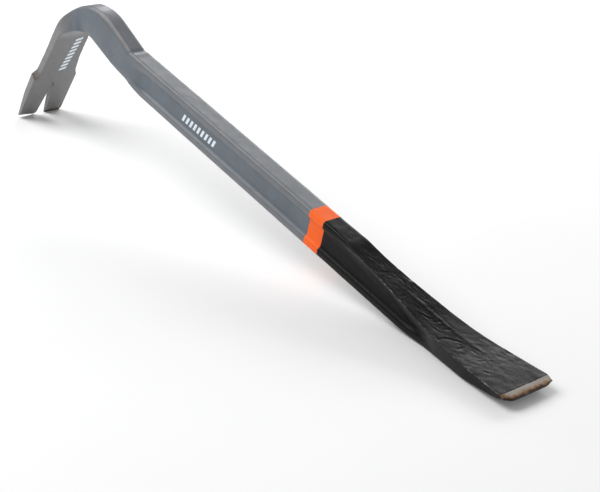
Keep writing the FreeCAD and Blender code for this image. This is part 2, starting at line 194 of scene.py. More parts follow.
def stand(points):
    """Bar frame in millimetres to the standing frame in metres: a turn about Y and a shift."""
    x, y, z = points[..., 0], points[..., 1], points[..., 2]
    cos, sin = math.cos(STANCE), math.sin(STANCE)
    turned = [x * cos + z * sin + STAND_SHIFT[0], y, z * cos - x * sin + STAND_SHIFT[1]]
    return np.stack(turned, -1) * MM


# ---- the forging ---------------------------------------------------------------------------

TOP_PATH = rounded_path(TOP_SIDE)
UNDER_PATH = rounded_path(UNDER_SIDE)
CORNER_POINTS = (9, 3, 3, 3, 4, 11)      # points on each rounded corner, bottom to top
RUN_POINTS = (8, 2, 1, 8, 1, 2, 19)      # points inside each straight run, bottom to top


def stations(high, low, spacing):
    """X values from high down to low about `spacing` apart."""
    return np.linspace(high, low, max(2, int(round((high - low) / spacing)) + 1))


def leg_reach(x):
    """Distance from the claw's tips along the leg, for a station's X on the outer side."""
    return np.where(x > TINE_BEND_X, 2.559 * x + 15.98, (x - CLAW_TIP_X) * 28.6 / 8.4)


def up_the_leg(points):
    """Distance of each point from the claw's tips, measured up the leg's inner face."""
    return (points[:, 0] - LEG_TIP[0]) * LEG_UP[0] + (points[:, 2] - LEG_TIP[1]) * LEG_UP[1]


def below_top(points):
    """How far each point lies below the bar's ideal top side."""
    return np.interp(-points[:, 0], -TOP_PATH[:, 0], TOP_PATH[:, 1]) - points[:, 2]


def half_profiles(x, sizes, skin, side):
    """Half cross-sections, as Y and height above the underside, one row for each station.

    Eight corners run from the middle of the underside round one side to the middle of the top.
    Each inner corner C becomes the curve (1-t)^2 A + 2t(1-t) M + t^2 B, where A and B lie on
    its two sides and M lies between C and their midpoint: M at C is round, M nearer the
    midpoint is a chamfer.  `skin` moves the section inwards: underside, top, sides.
    """
    under_x = table(x, (CLAW_TIP_X, -2.0), (TINE_BEND_X, 11.1), (37.5, 45.0), (51.3, 60.8),
                    (NECK_START_X, 85.0), (CREASE_X, CREASE_X), (TIP_X, TIP_X))
    under = at_x(UNDER_PATH, under_x)
    top = at_x(TOP_PATH, x)
    dip = -0.6 * np.exp(-((x - 144.5) / 2.2) ** 2) + 0.25 * np.exp(-((x - 150.0) / 2.8) ** 2)
    up = top - under
    height = np.linalg.norm(up, axis=-1)
    up = up / height[:, None]
    height = height + dip
    half = sizes.shank_width / MM / 2
    web = half - sizes.recess_depth / MM
    ramp = smooth_step(136, 176, x)
    blade = smooth_step(497, 531, x)

    # widths at the underside and at the top
    low_y = eased_table(x, 4.0, (42.2, 16.5), (46, 15.6), (53, 12.4), (65, 10.6), (75, 9.4),
                        (88, half), (514, half), (525, 10.2), (540, 13.2), (560, 17.2),
                        (580, 19.9), (600, 21.3))
    high_y = eased_table(x, 4.0, (42.2, 16.5), (47, 15.4), (53, 11.6), (60, 9.2), (67, half),
                         (428, half), *BLADE_TOP_HALF)
    flare = 1.9 if side > 0 else 0.5
    claw = table(x, (15.4, 21.5), (17.6, 17.2 + flare), (19.6, 16.9 + 0.7 * flare), (26, 16.6))
    low_y = np.where(x < 30, claw, low_y)
    high_y = np.where(x < 30, claw, high_y)
    strip = smooth_step(58, 70, x) * (1 - smooth_step(125, 168, x))   # the neck's lower land
    low_y = low_y - 1.3 * strip
    wall = high_y - low_y

    # heights above the underside of the lower land, the web and the upper land
    upper_web = table(x, (400, 22.2), (430, 21.0), (460, 17.8), (480, 14.6), (500, 9.4),
                      (512, 8.2))
    upper_land = height - table(x, (405, FLANGE), (425, 4.4), (450, 1.2), (470, 0.9), (600, 0.9))
    corners = [
        (low_y, 0 * height),
        (half + 0 * x, FLANGE + 0 * x),
        (web + 0 * x, SLOPE_END + 0 * x),
        (web + 0 * x, upper_web),
        (high_y - 0.15 * smooth_step(425, 450, x), upper_land),
        (high_y, height),
    ]
    # towards the claw the sides are plain, and towards the blade's tip they are one slant
    plain = [None, 0.24, 0.4, 0.6, 0.76, None]
    slant = [None, 0.2, 0.4, 0.65, 0.95, None]
    shaped = []
    for (y, z), flat_share, slant_share in zip(corners, plain, slant):
        if flat_share is not None:
            plain_y = (low_y + wall * flat_share) * (1 - strip) + high_y * strip
            plain_z = height * flat_share
            if flat_share == plain[1]:
                plain_z = plain_z * (1 - strip) + 4.6 * strip
            y = y * ramp + plain_y * (1 - ramp)
            z = z * ramp + plain_z * (1 - ramp)
            y = y * (1 - blade) + (low_y + wall * slant_share) * blade
            z = z * (1 - blade) + height * slant_share * blade
        shaped.append((y, z))
    gap = notch_gap(x)
    gap = gap + skin[2] * smooth_step(0, 1, gap)
    floor = skin[0] + 0 * x
    ceiling = height - skin[1]
    outline = [(gap, floor)]
    for number, (y, z) in enumerate(shaped):
        z = (floor, ceiling)[number // 5] if number in (0, 5) else np.clip(z, floor, ceiling)
        outline.append((y - skin[2], z))
    outline.append((gap, ceiling))
    outline = np.array([np.stack(np.broadcast_arrays(*corner), -1) for corner in outline])

    chamfer = sizes.neck_chamfer / MM
    neck = smooth_step(36, 52, x) * (1 - smooth_step(142, 148, x))
    shank = smooth_step(142, 150, x)
    low_shank = smooth_step(122, 172, x)
    leg = 1 - smooth_step(36, 52, x)
    tip = smooth_step(560, 590, x)
    leg_round = table(x, (-3.45, 0.35), (5, 0.9), (60, 1.4))
    low_round = 5.0 * low_shank * (1 - tip) + 1.0 * tip
    low_round += (chamfer - 1.4 * strip) * (1 - leg) * (1 - low_shank) + leg_round * leg
    high_round = 5.4 * shank * (1 - smooth_step(420, 446, x)) + (chamfer + 0.8) * neck
    high_round += 0.7 * smooth_step(420, 446, x) + leg_round * leg
    rounds = [low_round, 0.6 + 0 * x, 0.9 + 0 * x, 1.3 + 0 * x, 1.0 + 0 * x, high_round]
    flats = [0.55 * neck, 0 * x, 0 * x, 0 * x, 0 * x, 0.6 * neck]

    runs = []
    start = outline[0]
    for number in range(1, 7):
        corner, before, after = outline[number], outline[number - 1], outline[number + 1]
        to_before, to_after = before - corner, after - corner
        room_before = np.linalg.norm(to_before, axis=-1)
        room_after = np.linalg.norm(to_after, axis=-1)
        reach = np.minimum(rounds[number - 1], 0.48 * np.minimum(room_before, room_after))
        first = corner + to_before * (reach / np.maximum(room_before, 1e-6))[:, None]
        last = corner + to_after * (reach / np.maximum(room_after, 1e-6))[:, None]
        bulge = corner + ((first + last) / 2 - corner) * flats[number - 1][:, None]
        share = np.linspace(0, 1, RUN_POINTS[number - 1] + 2)[:-1, None, None]
        runs.append(start * (1 - share) + first * share)
        t = np.linspace(0, 1, CORNER_POINTS[number - 1])[:-1, None, None]
        runs.append((1 - t) ** 2 * first + 2 * t * (1 - t) * bulge + t * t * last)
        start = last
    share = np.linspace(0, 1, RUN_POINTS[-1] + 2)[:, None, None]
    runs.append(start * (1 - share) + outline[-1] * share)
    rows = np.concatenate(runs).transpose(1, 0, 2)
    return under, up, rows * np.array([side, 1.0])


def notch_gap(x):
    """Half the notch's width: straight sides that close in a small round root."""
    reach = leg_reach(x)
    straight = 5.15 - 4.3 * reach / 47
    root = 0.85 * np.sqrt(np.clip((48.0 - reach) / 1.5, 0, 1))
    return np.where(reach < 46.5, np.maximum(straight, 0.85), root)


def forged_dents(points, height_share):
    """How far the hammered skin lies below the ideal surface, in millimetres.

    Coarse and fine grain everywhere, less on the flat webs and the claw's sides.  On the blade's
    top, folds that are narrow valleys exp(-(distance across)^2) faded along their length, finer
    wrinkles, one raised ridge and a few pits.
    """
    x, y = points[..., 0], points[..., 1]
    on_top = smooth_step(0.97, 1.0, height_share)
    blade = smooth_step(405, 440, x)
    web = 1 - smooth_step(0.25, 0.38, np.abs(height_share - 0.5))
    rough = 0.14 + 0.08 * blade * on_top
    rough = rough * (1 - 0.75 * web)
    rough = rough * (1 - 0.8 * (1 - smooth_step(40, 60, x)) * (1 - on_top))
    depth = rough * (0.5 + 0.5 * grain(points, 16.0, 1)) + 0.35 * rough * grain(points, 5.0, 2)
    # X, Y, length, width, angle and depth of each fold
    folds = [
        (447, -1, 5, 0.6, 0.5, 0.16), (456, 2, 4, 0.6, -0.5, 0.14), (462, -3, 6, 0.7, 0.9, 0.18),
        (468, 0, 5, 0.6, 0.3, 0.16), (476, 3, 6, 0.7, -0.3, 0.15), (486, -5, 7, 0.7, 1.2, 0.20),
        (497, 4, 6, 0.8, 0.6, 0.14), (509, -6, 6, 0.8, 0.7, 0.26), (516, -2, 7, 0.7, 1.3, 0.20),
        (522, -8, 6, 0.7, 0.4, 0.26), (527, 0, 6, 0.7, 1.0, 0.24), (533, -9, 7, 0.8, 1.2, 0.30),
        (538, -4, 5, 0.7, 0.6, 0.26), (545, -7, 4, 0.7, 1.4, 0.24), (552, -2, 4, 0.6, 0.2, 0.20),
        (561, -5, 4, 0.6, 1.0, 0.18), (572, -11, 4, 0.7, 0.8, 0.20),
    ]
    for fold_x, fold_y, length, width, angle, deep in folds:
        across = (y - fold_y) * math.cos(angle) - (x - fold_x) * math.sin(angle)
        along = (y - fold_y) * math.sin(angle) + (x - fold_x) * math.cos(angle)
        bend = across + 0.16 * length * np.sin(along / length * 2.4 + fold_x)
        valley = np.exp(-(bend / width) ** 2) - 0.6 * np.exp(-((bend - 1.9 * width) / width) ** 2)
        depth += deep * on_top * valley * np.exp(-(along / length * 1.6) ** 2)
    skin_folds = grain(points * np.array([0.6, 1.0, 1.0]), 1.7, 3)
    depth += 0.07 * on_top * blade * skin_folds * (1 - 0.6 * smooth_step(560, 585, x))
    ridge = np.exp(-((y - 1.5 - 0.05 * (x - 520)) / 1.3) ** 2) * smooth_step(478, 500, x)
    depth -= 0.22 * on_top * ridge * (1 - smooth_step(545, 562, x))
    pits = grain(points, 3.4, 7) * grain(points, 9.0, 8)
    depth += 0.3 * on_top * blade * smooth_step(0.3, 0.6, pits)
    edge_wave = grain(points, 7.0, 5) * smooth_step(0.8, 0.95, height_share) * (1 - on_top)
    depth += 0.16 * (0.5 + 0.5 * edge_wave) * smooth_step(395, 410, x)
    fade = smooth_step(0, 4, leg_reach(x)) * (1 - smooth_step(596, 600, x))
    return np.maximum(depth, 0) * fade


def skin_grid(x, sizes, skins):
    """The bar's surface at the given stations: far half, near half and the notch's two walls.

    Points go round from the underside's middle to the top's middle on each half.  A wall is the
    straight blend between a half's two middle points.
    """
    halves, walls = [], []
    for side, skin in ((1, skins[0]), (-1, skins[1])):
        under, up, rows = half_profiles(x, sizes, skin, side)
        tangent = np.gradient(rows, axis=1)
        outward = np.stack([tangent[..., 1], -tangent[..., 0]], -1) * side
        outward /= np.maximum(np.linalg.norm(outward, axis=-1), 1e-9)[..., None]
        lift = rows[..., 1]
        points = np.empty(rows.shape[:2] + (3,))
        points[..., 0] = under[:, None, 0] + up[:, None, 0] * lift
        points[..., 1] = rows[..., 0]
        points[..., 2] = under[:, None, 1] + up[:, None, 1] * lift
        share = lift / np.maximum(lift[:, -1:], 1e-6)
        depth = forged_dents(points, share) * sizes.dent_scale
        push = np.stack([outward[..., 1] * up[:, None, 0], outward[..., 0],
                         outward[..., 1] * up[:, None, 1]], -1)
        points = points - push * depth[..., None]
        corner = smooth_step(12, 22, np.abs(points[..., 1])) * smooth_step(588, 600, x)[:, None]
        points[..., 0] -= (3.6 if side < 0 else 1.8) * corner ** 2
        if side < 0:
            skew = (1 - smooth_step(66, 104, leg_reach(x)))[:, None] * -points[..., 1] / 21.5
            points = points + NEAR_TINE_SHIFT * skew[..., None]
        halves.append(points)
        blend = np.linspace(0, 1, 7)[None, :, None]
        walls.append(points[:, :1] * (1 - blend) + points[:, -1:] * blend)
    return halves, walls


# the grids of a skin, and whether their faces are turned over to point outwards
GRID_TURNS = (("far", False), ("near", True), ("far_wall", True), ("near_wall", False))


class Skin:
    """One closed-round surface of the bar between two stations, with its seams merged."""

    def __init__(self, x, sizes, skins, inward=False):
        halves, walls = skin_grid(x, sizes, skins)
        notched = np.nonzero(notch_gap(x) > 0)[0]
        self.first_wall = max(notched[0] - 1, 0) if len(notched) else None
        parts, self.ids, start = [], {}, 0
        grids = {"far": halves[0], "near": halves[1]}
        if self.first_wall is not None:
            grids["far_wall"] = walls[0][self.first_wall:]
            grids["near_wall"] = walls[1][self.first_wall:]
        for name, grid in grids.items():
            rows, columns = grid.shape[:2]
            self.ids[name] = start + np.arange(rows * columns).reshape(rows, columns)
            parts.append(grid.reshape(-1, 3))
            start += rows * columns
        points = np.concatenate(parts)
        keys = np.round(points / 1e-4).astype(np.int64)
        _, kept, merged = np.unique(keys, axis=0, return_index=True, return_inverse=True)
        merged = merged.reshape(-1)
        self.points = points[kept]
        self.ids = {name: merged[ids] for name, ids in self.ids.items()}
        faces = []
        for name, flip in GRID_TURNS:
            if name in self.ids:
                faces.append(quads(self.ids[name], flip != inward))
        self.faces = np.concatenate(faces)
        self.on_wall = np.zeros(len(self.points), bool)
        for name in ("far_wall", "near_wall"):
            if name in self.ids:
                self.on_wall[self.ids[name][:, 1:-1]] = True

    def shift(self, offset):
        """Move the vertex numbers along, to follow another skin's points."""
        self.ids = {name: ids + offset for name, ids in self.ids.items()}
        self.faces = self.faces + offset


def quads(ids, flip):
    """Faces of a grid of vertex numbers, turned over if asked."""
    corners = [ids[:-1, :-1], ids[1:, :-1], ids[1:, 1:], ids[:-1, 1:]]
    if flip:
        corners = corners[::-1]
    return np.stack(corners, -1).reshape(-1, 4)


def shell(x, sizes, outer_skins, thickness):
    """A coat of enamel: an outer skin, an inner skin and rims that join their ends."""
    inner_skins = [[depth + thickness for depth in skin] for skin in outer_skins]
    outer = Skin(x, sizes, outer_skins)
    inner = Skin(x, sizes, inner_skins, inward=True)
    inner.shift(len(outer.points))
    faces = [outer.faces, inner.faces]
    for row, turned in ((0, False), (-1, True)):
        for name, flip in GRID_TURNS:
            if name not in outer.ids or (row == 0 and "wall" in name):
                continue
            pair = np.stack([inner.ids[name][row], outer.ids[name][row]])
            faces.append(quads(pair, flip != turned))
    on_wall = np.concatenate([outer.on_wall, inner.on_wall])
    return np.concatenate([outer.points, inner.points]), list(np.concatenate(faces)), on_wall


def solid(x, sizes, skins):
    """The steel itself: one skin, with flat ends on the blade and on the two tines."""
    skin = Skin(x, sizes, skins)
    blade_end = np.concatenate([skin.ids["far"][0], skin.ids["near"][0][::-1]])
    far_end = np.concatenate([skin.ids["far"][-1], skin.ids["far_wall"][-1][::-1]])[::-1]
    near_end = np.concatenate([skin.ids["near"][-1], skin.ids["near_wall"][-1][::-1]])
    faces = list(skin.faces)
    for end in (blade_end, far_end, near_end):
        faces.append([int(a) for a, b in zip(end, np.roll(end, -1)) if a != b])
    return skin.points, faces


def add_piece(name, points, faces, material, nodes, wear=None, dust_and_sheen=None):
    """Put a finished surface into the scene, on the bar's body."""
    old = bpy.data.objects.get(name)
    if old:
        bpy.data.objects.remove(old)
    mesh = bpy.data.meshes.new(name)
    mesh.from_pydata(stand(points).tolist(), [], [list(map(int, face)) for face in faces])
    for layer_name, values in (("wear", wear), ("dust_and_sheen", dust_and_sheen)):
        if values is not None:
            layer = mesh.attributes.new(layer_name, "FLOAT", "POINT")
            layer.data.foreach_set("value", values.astype(np.float32))
    mesh.materials.append(material)
    mesh.polygons.foreach_set("use_smooth", np.ones(len(mesh.polygons), bool))
    mesh.set_sharp_from_angle(angle=math.radians(38))
    mesh.update()
    piece = bpy.data.objects.new(name, mesh)
    bpy.context.scene.collection.objects.link(piece)
    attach(piece, "root")
    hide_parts(*nodes)


# ---- finishes ------------------------------------------------------------------------------

def new_material(name):
    """An empty material with a Principled shader and its output."""
    old = bpy.data.materials.get(name)
    if old:
        bpy.data.materials.remove(old)
    material = bpy.data.materials.new(name)
    material.use_nodes = True
    tree = material.node_tree
    tree.nodes.clear()
    shader = tree.nodes.new("ShaderNodeBsdfPrincipled")
    output = tree.nodes.new("ShaderNodeOutputMaterial")
    tree.links.new(shader.outputs["BSDF"], output.inputs["Surface"])
    return material, tree, shader


def noise(tree, scale, detail, roughness=0.5, stretch=(1, 1, 1)):
    """Noise on the piece's own coordinates, which are metres in the standing frame."""
    place = tree.nodes.new("ShaderNodeTexCoord")
    mapping = tree.nodes.new("ShaderNodeMapping")
    mapping.inputs["Scale"].default_value = stretch
    texture = tree.nodes.new("ShaderNodeTexNoise")
    texture.inputs["Scale"].default_value = scale
    texture.inputs["Detail"].default_value = detail
    texture.inputs["Roughness"].default_value = roughness
    tree.links.new(place.outputs["Object"], mapping.inputs["Vector"])
    tree.links.new(mapping.outputs["Vector"], texture.inputs["Vector"])
    return texture.outputs["Fac"]


def remap(tree, value, low, high, to_low, to_high):
    """A value stretched from one range to another and clamped."""
    node = tree.nodes.new("ShaderNodeMapRange")
    for socket, number in zip(("From Min", "From Max", "To Min", "To Max"),
                              (low, high, to_low, to_high)):
        node.inputs[socket].default_value = number
    tree.links.new(value, node.inputs["Value"])
    return node.outputs["Result"]


def mix(tree, share, first, second):
    """One colour over another by a share; each is a colour or a socket."""
    node = tree.nodes.new("ShaderNodeMix")
    node.data_type = "RGBA"
    tree.links.new(share, node.inputs["Factor"])
    for socket, colour in (("A", first), ("B", second)):
        target = next(s for s in node.inputs if s.name == socket and s.type == "RGBA")
        if isinstance(colour, bpy.types.NodeSocket):
            tree.links.new(colour, target)
        else:
            target.default_value = (*colour, 1)
    return next(s for s in node.outputs if s.type == "RGBA")


def maths(tree, operation, first, second):
    """One arithmetic node; each input is a number or a socket."""
    node = tree.nodes.new("ShaderNodeMath")
    node.operation = operation
    for socket, value in zip(node.inputs, (first, second)):
        if isinstance(value, bpy.types.NodeSocket):
            tree.links.new(value, socket)
        else:
            socket.default_value = value
    return node.outputs[0]


def bump(tree, shader, height, strength, distance):
    """Relief on a shader's surface from a height socket; the distance is in metres."""
    node = tree.nodes.new("ShaderNodeBump")
    node.inputs["Strength"].default_value = strength
    node.inputs["Distance"].default_value = distance
    tree.links.new(height, node.inputs["Height"])
    tree.links.new(node.outputs["Normal"], shader.inputs["Normal"])


def wear_share(tree, fine_scale):
    """Where the enamel is worn, and on the grey coat's notch walls where shade is painted: the
    piece's wear attribute broken up by fine noise.
    """
    attribute = tree.nodes.new("ShaderNodeAttribute")
    attribute.attribute_name = "wear"
    speckle = remap(tree, noise(tree, fine_scale, 4, 0.65), 0.35, 0.65, -0.28, 0.28)
    return maths(tree, "ADD", attribute.outputs["Fac"], speckle)


def enamel(name, colour, dust_sheen_colour, worn, burnt, roughness, coat, fine=0.00006, bare=False,
           gleam=0.5):
    """Sprayed enamel over a forged skin: a slight drift of colour, orange-peel bump, uneven
    gloss, dust-fine speckle, a paler colour off the webs that is partly dust and partly painted
    sheen, and worn places, with the wear attribute also carrying painted shade."""
    material, tree, shader = new_material(name)
    drift = remap(tree, noise(tree, 35, 3), 0.3, 0.7, 0, 1)
    paler = tuple(min(1.0, c * 1.14) for c in colour)
    darker = tuple(c * 0.88 for c in colour)
    base = mix(tree, drift, darker, paler)
    dust = remap(tree, noise(tree, 2600, 2, 0.6), 0.62, 0.72, 0, 0.5)
    base = mix(tree, dust, base, tuple(c * 0.7 for c in colour))
    # Off the webs the colour moves towards a paler, more neutral one: partly dust on the rougher
    # forged paint, partly a painted sheen.
    dust_and_sheen = tree.nodes.new("ShaderNodeAttribute")
    dust_and_sheen.attribute_name = "dust_and_sheen"
    mottle = remap(tree, noise(tree, 210, 4, 0.65), 0.3, 0.65, 0.45, 1.0)
    base = mix(tree, maths(tree, "MULTIPLY", dust_and_sheen.outputs["Fac"], mottle), base, tuple(dust_sheen_colour))
    # From 0.65 up the colour goes to the darkest one: worn-through places, and painted shade on
    # the grey coat's notch walls.
    wear_and_shade = wear_share(tree, 520)
    base = mix(tree, remap(tree, wear_and_shade, 0.25, 0.6, 0, 1), base, tuple(worn))
    share = remap(tree, wear_and_shade, 0.65, 0.95, 0, 1)
    base = mix(tree, share, base, tuple(burnt))
    tree.links.new(base, shader.inputs["Base Color"])
    gloss = remap(tree, noise(tree, 160, 4, 0.6), 0.3, 0.7, roughness * 0.82, roughness * 1.22)
    matt = remap(tree, dust_and_sheen.outputs["Fac"], 0, 1, 0.22, 0)
    gloss = maths(tree, "ADD", gloss, matt)
    if bare:
        metal = remap(tree, share, 0.2, 0.9, 0, 1)
        tree.links.new(metal, shader.inputs["Metallic"])
    tree.links.new(gloss, shader.inputs["Roughness"])
    shader.inputs["Specular IOR Level"].default_value = gleam
    shader.inputs["Coat Weight"].default_value = coat
    shader.inputs["Coat Roughness"].default_value = roughness * 0.45
    peel = maths(tree, "ADD", maths(tree, "MULTIPLY", noise(tree, 420, 3, 0.55), 0.7),
                 maths(tree, "MULTIPLY", noise(tree, 1500, 2, 0.5), 0.3))
    bump(tree, shader, peel, 0.55, fine)
    return material


def bare_steel(colours):
    """Ground steel, heat-tinted from grey through straw to brown, with grinding scratches."""
    material, tree, shader = new_material("ground_steel")
    attribute = tree.nodes.new("ShaderNodeAttribute")
    attribute.attribute_name = "wear"
    blotch = remap(tree, noise(tree, 260, 4, 0.6), 0.3, 0.7, -0.22, 0.22)
    burn = maths(tree, "ADD", attribute.outputs["Fac"], blotch)
    scratch = noise(tree, 900, 3, 0.6, (1.0, 0.12, 1.0))
    grey = mix(tree, remap(tree, scratch, 0.3, 0.7, 0, 1), tuple(c * 0.8 for c in colours.steel),
               tuple(colours.steel))
    tinted = mix(tree, remap(tree, burn, 0.15, 0.55, 0, 1), grey, tuple(colours.heat_tint))
    burnt = mix(tree, remap(tree, burn, 0.6, 0.9, 0, 1), tinted, tuple(colours.scale))
    tree.links.new(burnt, shader.inputs["Base Color"])
    shader.inputs["Metallic"].default_value = 0.75
    tree.links.new(remap(tree, scratch, 0.3, 0.7, 0.32, 0.55), shader.inputs["Roughness"])
    bump(tree, shader, scratch, 0.5, 0.00005)
    return material


def printing_ink(colour):
    """Matt white ink with thin places where the pad left less of it."""
    material, tree, shader = new_material("printed_ink")
    thin = remap(tree, noise(tree, 1100, 3, 0.6), 0.35, 0.7, 0, 1)
    base = mix(tree, thin, tuple(c * 0.86 for c in colour), tuple(colour))
    tree.links.new(base, shader.inputs["Base Color"])
    tree.links.new(remap(tree, thin, 0, 1, 0.62, 0.45), shader.inputs["Roughness"])
    bump(tree, shader, noise(tree, 2000, 2), 0.3, 0.00002)
    return material


def studio_paper(colour):
    """A pale matt floor with the faintest fibre."""
    material, tree, shader = new_material("pale_floor")
    fibre = remap(tree, noise(tree, 9, 3), 0.3, 0.7, 0, 1)
    base = mix(tree, fibre, tuple(c * 0.985 for c in colour), tuple(colour))
    tree.links.new(base, shader.inputs["Base Color"])
    shader.inputs["Roughness"].default_value = 0.85
    return material


# ---- where the enamel is rubbed ------------------------------------------------------------

def grey_wear(points):
    """Rub marks on the grey length: the neck's near top chamfer, the near tine's outer corner
    and shoulder, both tips, small chips along the flanges and a broken line low on the shank."""
    x, y, z = points[:, 0], points[:, 1], points[:, 2]
    below = below_top(points)
    band = np.exp(-((y + 7.6) / 1.2) ** 2) * np.exp(-((below - 2.0) / 1.6) ** 2)
    wear = 0.62 * band * smooth_step(88, 100, x) * (1 - smooth_step(166, 186, x))
    wear *= 0.55 + 0.65 * grain(points, 6.0, 11)
    reach = up_the_leg(points)
    on_leg = 1 - smooth_step(55, 62, x)
    near_edge = smooth_step(-17.5, -21.2, y) * (1 - smooth_step(50, 62, reach)) * on_leg
    wear += 0.42 * near_edge * (0.6 + 0.7 * grain(points, 9.0, 12))
    shoulder = np.exp(-((reach - 59) / 4.0) ** 2) * smooth_step(-15.5, -18, y) * on_leg
    wear += 0.75 * shoulder
    end = 1 - smooth_step(0.0, 2.5, reach)
    wear += 0.7 * end * on_leg
    far_end = (1 - smooth_step(3.0, 7.5, reach)) * smooth_step(2, 6, y) * on_leg
    wear += 0.75 * far_end
    chips = smooth_step(0.55, 0.75, grain(points, 4.0, 13)) * smooth_step(13.2, 14.6, np.abs(z))
    wear += 0.25 * chips * smooth_step(190, 200, x) * (np.abs(y) < 6)
    lower = np.exp(-((z + 14.0) / 0.9) ** 2) * smooth_step(-4, -7, y)
    wear += 0.3 * lower * smooth_step(0.1, 0.5, grain(points, 14.0, 14)) * smooth_step(180, 220, x)
    return np.clip(wear, 0, 1)


def off_the_webs(points):
    """Share of the paler, more neutral colour: most on the claw, half as much on the forged
    flanges, and not at all on the smooth webs and the neck's flat sides.  The colour is partly
    dust on the rougher forged paint and partly a painted sheen."""
    x, y, z = points[:, 0], points[:, 1], points[:, 2]
    web = (1 - smooth_step(7.4, 8.6, np.abs(z))) * smooth_step(132, 140, x) * (np.abs(y) > 5.5)
    neck_side = smooth_step(8.0, 8.4, np.abs(y)) * smooth_step(54, 66, x)
    neck_side *= 1 - smooth_step(150, 172, x)
    return (1 - np.maximum(web, neck_side)) * (0.6 + 0.6 * (1 - smooth_step(45, 62, x)))


def black_wear(points):
    """Rub marks on the black length: the blade's two top edges and its near corner."""
    x, y = points[:, 0], points[:, 1]
    half = table(x, (428, 8.5), *BLADE_TOP_HALF)
    edge = np.exp(-((np.abs(y) - half) / 0.45) ** 2) * np.exp(-(below_top(points) / 0.9) ** 2)
    wear = 0.72 * edge * smooth_step(436, 470, x) * (0.75 + 0.45 * grain(points, 5.0, 21))
    corner = smooth_step(592, 599, x) * smooth_step(15, 21, np.abs(y))
    wear += 0.7 * corner * smooth_step(-19, -20.5, y)
    return np.clip(wear, 0, 1)


# ---- settings ------------------------------------------------------------------------------

class BarSizes(bpy.types.PropertyGroup):
    """Sizes of the bar's surface."""

    shank_width: FloatProperty(name="Shank width", description="Across the flanges", default=0.017,
                               unit="LENGTH", subtype="DISTANCE")
    recess_depth: FloatProperty(name="Recess depth", description="Depth of the web below a flange",
                                default=0.0023, unit="LENGTH", subtype="DISTANCE")
    neck_chamfer: FloatProperty(name="Neck chamfer",
                                description="Width of the gooseneck's chamfers",
                                default=0.0026, unit="LENGTH", subtype="DISTANCE")
    coat: FloatProperty(name="Enamel thickness", description="Thickness of the enamel",
                        default=0.0003, unit="LENGTH", subtype="DISTANCE")
    dent_scale: FloatProperty(name="Forging marks", description="Depth of the forged skin's dents",
                              default=1.0, min=0.0, max=2.0, subtype="FACTOR")
    stripe_height: FloatProperty(name="Stripe height", description="Height of a printed stripe",
                                 default=0.0064, unit="LENGTH", subtype="DISTANCE")


class BarColours(bpy.types.PropertyGroup):
    """Colours of the enamel, the ink and the bare steel."""

    grey: FloatVectorProperty(name="Grey enamel", description="Shank and claw", size=3,
                              default=(0.1, 0.122, 0.146), min=0, max=1, subtype="COLOR")
    orange: FloatVectorProperty(name="Orange enamel", description="Band", size=3,
                                default=(1.0, 0.125, 0.004), min=0, max=1, subtype="COLOR")
    black: FloatVectorProperty(name="Black enamel", description="Blade end", size=3,
                               default=(0.0035, 0.0035, 0.004), min=0, max=1, subtype="COLOR")
    ink: FloatVectorProperty(name="Ink", description="Printed stripes", size=3,
                             default=(0.8, 0.88, 0.95), min=0, max=1, subtype="COLOR")
    steel: FloatVectorProperty(name="Steel", description="Ground steel", size=3,
                               default=(0.5, 0.46, 0.41), min=0, max=1, subtype="COLOR")
    heat_tint: FloatVectorProperty(name="Heat tint", description="Straw tint by the ground edges",
                                   size=3, default=(0.3, 0.17, 0.08), min=0, max=1,
                                   subtype="COLOR")
    scale: FloatVectorProperty(name="Scale", description="Burnt edge of the ground faces", size=3,
                               default=(0.05, 0.032, 0.024), min=0, max=1, subtype="COLOR")


class StageSettings(bpy.types.PropertyGroup):
    """The floor and the lamps."""

    floor: FloatVectorProperty(name="Floor", description="Colour of the floor", size=3,
                               default=(0.95, 0.95, 0.95), min=0, max=1, subtype="COLOR")
    lamps: FloatProperty(name="Lamps", description="Strength of the soft boxes", default=1.0,
                         min=0.0, soft_max=4.0, subtype="FACTOR")


def grey_stations():
    """Stations of the grey length: closer together round the bend and at the crease."""
    leg = np.concatenate([stations(LEG_TOP_X, 17.8, 0.55), stations(17.6, 15.2, 0.4),
                          stations(15.0, 13.0, 0.5), stations(12.6, 11.6, 0.1),
                          stations(11.2, 4.95, 0.5), stations(4.4, CLAW_TIP_X, 0.3)])
    return np.concatenate([stations(BAND_X[0], 178, 2.6), stations(176, 152, 1.6),
                           stations(151, 137, 0.55), stations(136, 43.2, 1.3), leg])


class PRYBAR_OT_steel(bpy.types.Operator):
    """Build the forged bar that shows at the ground tips"""

    bl_idname = "prybar.steel"
    bl_label = "Forged bar"

    def execute(self, context):
        sizes, colours = context.scene.pry_bar_sizes, context.scene.pry_bar_colours
        coat = sizes.coat / MM
        x = np.concatenate([stations(TIP_X, 593.9, 0.6), stations(BEVEL_X, 588, 0.8),
                            stations(586, 404, 2.6), grey_stations()])
        x = np.unique(x)[::-1]
        skin = [coat + 0 * x, np.where(x > 593.6, 0.0, coat), coat + 0 * x]
        points, faces = solid(x, sizes, [skin, skin])
        reach = up_the_leg(points)
        blade = points[:, 0] > 300
        burn = np.where(blade, smooth_step(594.5, 600.0, points[:, 0]),
                        0.95 - 0.25 * smooth_step(0, 6, reach))
        burn = burn + np.where(blade, 0.6 * smooth_step(15, 21, -points[:, 1]), 0)
        add_piece("forged_steel_bar", points, faces, bare_steel(colours),
                  ["forged_bar"], np.clip(burn, 0, 1))
        return {"FINISHED"}


